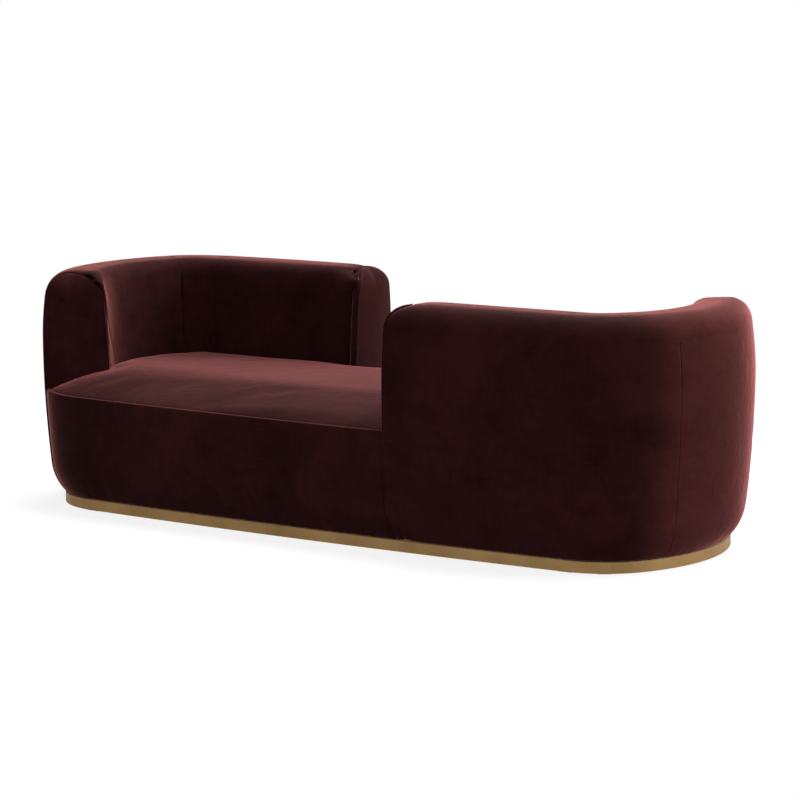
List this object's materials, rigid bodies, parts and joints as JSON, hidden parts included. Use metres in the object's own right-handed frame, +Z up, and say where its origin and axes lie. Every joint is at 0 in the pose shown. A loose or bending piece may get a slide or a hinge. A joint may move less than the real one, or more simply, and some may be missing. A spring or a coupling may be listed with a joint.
{
  "type": "chaise longue",
  "caption": "Two-way chaise longue in deep burgundy velvet, one long seat between two opposed wrap-round wings, on a low brass-finish plinth.",
  "frame": {"origin": "on the floor, under the centre of the plan", "axes": "+X along the length, towards the wing that stands at the front; +Y away from the front; +Z up"},
  "size_m": [2.305, 0.9202, 0.718],
  "materials": {
    "velvet": "short-pile velvet, deep burgundy",
    "brass": "brushed, lightly aged",
    "plywood": "raw birch plywood",
    "liner": "hardboard",
    "foam": "open-cell upholstery foam",
    "webbing": "woven elastic webbing",
    "felt": "needled felt",
    "dust_cloth": "non-woven cloth",
    "floor_pad": "stick-on felt",
    "steel": "zinc plated"
  },
  "bodies": {
    "root": {"back_board": "plywood", "back_border_cover": "velvet", "back_border_pad": "foam", "base_ring": "plywood", "cross_board_left": "plywood", "cross_board_middle": "plywood", "cross_board_right": "plywood", "cross_straps": "webbing", "dust_cover": "dust_cloth", "floor_pads": "floor_pad", "front_board": "plywood", "front_border_cover": "velvet", "front_border_pad": "foam", "left_end_board": "plywood", "left_wing_back_pad": "foam", "left_wing_bottom_rail": "plywood", "left_wing_corner_pad": "foam", "left_wing_end_facing_cover": "velvet", "left_wing_end_facing_pad": "foam", "left_wing_end_pad": "foam", "left_wing_inner_cover": "velvet", "left_wing_inner_liner": "liner", "left_wing_outer_cover": "velvet", "left_wing_outer_liner": "liner", "left_wing_outer_pad": "foam", "left_wing_posts": "plywood", "left_wing_start_facing_cover": "velvet", "left_wing_start_facing_pad": "foam", "left_wing_top_rail": "plywood", "left_wing_top_roll": "foam", "long_straps": "webbing", "plinth_band_back": "brass", "plinth_band_back_left": "brass", "plinth_band_front": "brass", "plinth_band_front_right": "brass", "plinth_band_left_end": "brass", "plinth_band_right_end": "brass", "plinth_core": "plywood", "right_end_board": "plywood", "right_wing_back_pad": "foam", "right_wing_bottom_rail": "plywood", "right_wing_corner_pad": "foam", "right_wing_end_facing_cover": "velvet", "right_wing_end_facing_pad": "foam", "right_wing_end_pad": "foam", "right_wing_inner_cover": "velvet", "right_wing_inner_liner": "liner", "right_wing_outer_cover": "velvet", "right_wing_outer_liner": "liner", "right_wing_outer_pad": "foam", "right_wing_posts": "plywood", "right_wing_start_facing_cover": "velvet", "right_wing_start_facing_pad": "foam", "right_wing_top_rail": "plywood", "right_wing_top_roll": "foam", "seat_cover": "velvet", "seat_felt": "felt", "seat_foam": "foam", "seat_ring": "plywood", "wing_bolts": "steel"}
  },
  "joints": []
}
